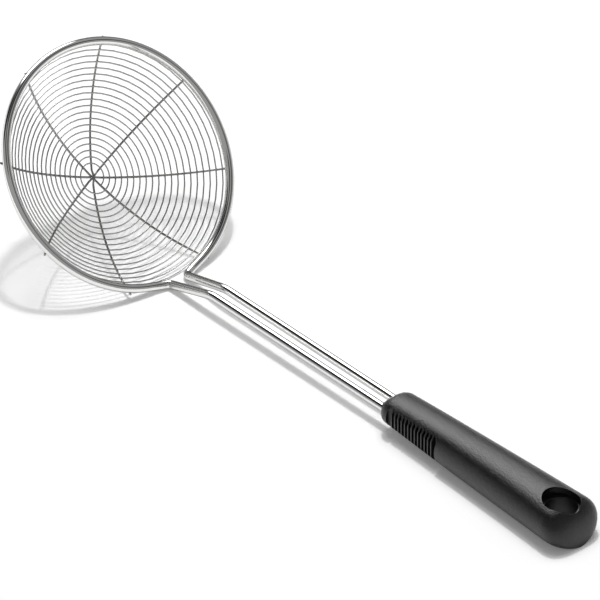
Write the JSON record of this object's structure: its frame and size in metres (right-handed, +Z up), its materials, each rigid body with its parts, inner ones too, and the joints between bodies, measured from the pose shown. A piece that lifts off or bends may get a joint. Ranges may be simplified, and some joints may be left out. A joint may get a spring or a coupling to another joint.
{
  "type": "spider skimmer",
  "caption": "Kitchen skimmer: shallow bowl of spiral wire on radial ribs inside a bent rod rim, twin rod neck, soft-gripped handle with side fins and hanging hole.",
  "frame": {"origin": "middle of the tool's length and width, on the surface it lies on", "axes": "+X along the handle from the bowl to the butt, +Z up with the bowl's mouth turned up towards the handle, +Y across the bowl"},
  "size_m": [0.4139, 0.14, 0.1036],
  "materials": {
    "polished_steel": "polished stainless steel",
    "wire_steel": "bright drawn stainless wire",
    "hard_plastic": "smooth black plastic",
    "soft_rubber": "matte black soft-touch rubber"
  },
  "bodies": {
    "root": {"frame_rod": "polished_steel", "rib_wire_1": "wire_steel", "rib_wire_2": "wire_steel", "rib_wire_3": "wire_steel", "rib_wire_4": "wire_steel", "spiral_wire": "wire_steel", "handle_core": "hard_plastic", "soft_grip": "soft_rubber"}
  },
  "joints": []
}
